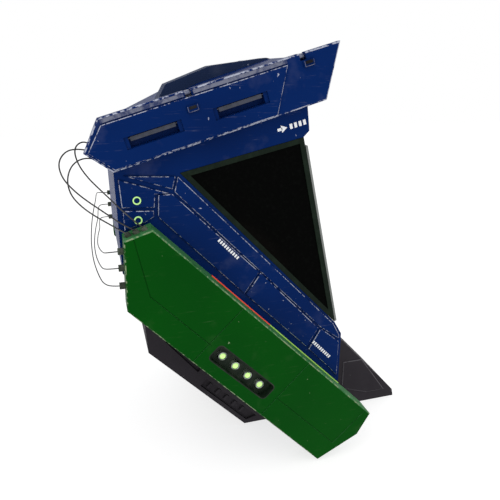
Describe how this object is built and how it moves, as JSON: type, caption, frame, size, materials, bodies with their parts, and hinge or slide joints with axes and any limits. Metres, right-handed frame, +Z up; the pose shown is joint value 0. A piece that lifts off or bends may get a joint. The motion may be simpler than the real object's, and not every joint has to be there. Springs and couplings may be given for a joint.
{
  "type": "livestock squeeze chute",
  "caption": "Folded sheet-steel stock crate on a keel, with a slanted head box, lift-up side hatch, glazed wedge cab, hinged front gate, side pods, lamps and looped cables.",
  "frame": {"origin": "middle of the keel's flat base", "axes": "+X towards the front gate, +Y towards the far side, +Z up"},
  "size_m": [1.7984, 1.23, 2.0459],
  "materials": {
    "blue_paint": "gloss industrial paint, chipped to primer along the folds",
    "dark_blue_paint": "satin paint",
    "green_paint": "gloss paint, scuffed along the top edge",
    "keel_black": "matt black coated casting",
    "lamp_tray_black": "moulded tray",
    "lamp_chrome": "bright reflector cup",
    "lamp_glow": "lit diffuser lens",
    "gauge_red": "lit strip",
    "gauge_green": "lit strip",
    "ring_glow": "lit ring",
    "tinted_glass": "dark tinted glass",
    "seal_rubber": "dark green rubber seal",
    "gate_grey": "satin grey paint",
    "pin_steel": "ground steel",
    "worn_steel": "worn bare steel",
    "lever_grey": "worn grey paint",
    "fitting_grey": "moulded body",
    "dark_cable_sheath": "smooth sheath",
    "grey_cable_sheath": "smooth sheath"
  },
  "bodies": {
    "frame": {"body_box": "blue_paint", "cable_glands": "fitting_grey", "cable_sockets": "fitting_grey", "cleats": "keel_black", "connector_blocks": "fitting_grey", "corner_panel": "blue_paint", "dark_cable_lower": "dark_cable_sheath", "dark_cable_middle": "dark_cable_sheath", "dark_cable_upper": "dark_cable_sheath", "far_head_side": "blue_paint", "far_lamp_tray": "lamp_tray_black", "far_pod_shell": "green_paint", "far_side_sheet": "blue_paint", "far_window_pane": "tinted_glass", "far_window_seal": "seal_rubber", "gate_brackets": "gate_grey", "gate_pins": "pin_steel", "gauge_green": "gauge_green", "gauge_red": "gauge_red", "grey_cable_high": "grey_cable_sheath", "grey_cable_low": "grey_cable_sheath", "grey_cable_middle": "grey_cable_sheath", "head_box": "blue_paint", "hinge_arms": "worn_steel", "hinge_pins": "pin_steel", "keel": "keel_black", "keel_plates": "keel_black", "lamp_cups": "lamp_chrome", "lamp_lenses": "lamp_glow", "low_panel": "blue_paint", "mid_front_panel": "blue_paint", "mid_rear_panel": "blue_paint", "near_head_side": "blue_paint", "near_lamp_tray": "lamp_tray_black", "near_pod_shell": "green_paint", "near_side_sheet": "blue_paint", "near_window_pane": "tinted_glass", "near_window_seal": "seal_rubber", "nose_panel": "blue_paint", "port_rings": "ring_glow", "quarter_panel": "blue_paint", "rail_panel": "blue_paint", "roof_cowl": "dark_blue_paint"},
    "hatch": {"hatch_plate": "blue_paint", "hatch_door": "blue_paint", "hatch_rail": "worn_steel", "grip_frames": "blue_paint", "hinge_covers": "worn_steel"},
    "gate": {"gate_frame": "gate_grey", "gate_pane": "tinted_glass"},
    "rear_lever": {"rear_lever": "lever_grey"},
    "front_lever": {"front_lever": "lever_grey"}
  },
  "joints": [
    {"name": "hatch_lift", "type": "hinge", "parent": "frame", "child": "hatch", "pos_m": [-1.16268, -0.531, 1.74222], "axis": [-0.9603, 0, -0.279], "range_deg": [0, 75]},
    {"name": "gate_swing", "type": "hinge", "parent": "frame", "child": "gate", "pos_m": [-0.2714, 0, 1.63427], "axis": [0, -1, 0], "range_deg": [0, 70]},
    {"name": "rear_grip_pull", "type": "hinge", "parent": "hatch", "child": "rear_lever", "pos_m": [-1.13729, -0.548, 1.65483], "axis": [-0.9603, 0, -0.279], "range_deg": [0, 25], "stiffness_Nm_per_rad": 0.8, "springref_deg": -5.73},
    {"name": "front_grip_pull", "type": "hinge", "parent": "hatch", "child": "front_lever", "pos_m": [-1.13729, -0.548, 1.65483], "axis": [-0.9603, 0, -0.279], "range_deg": [0, 25], "stiffness_Nm_per_rad": 0.8, "springref_deg": -5.73}
  ]
}
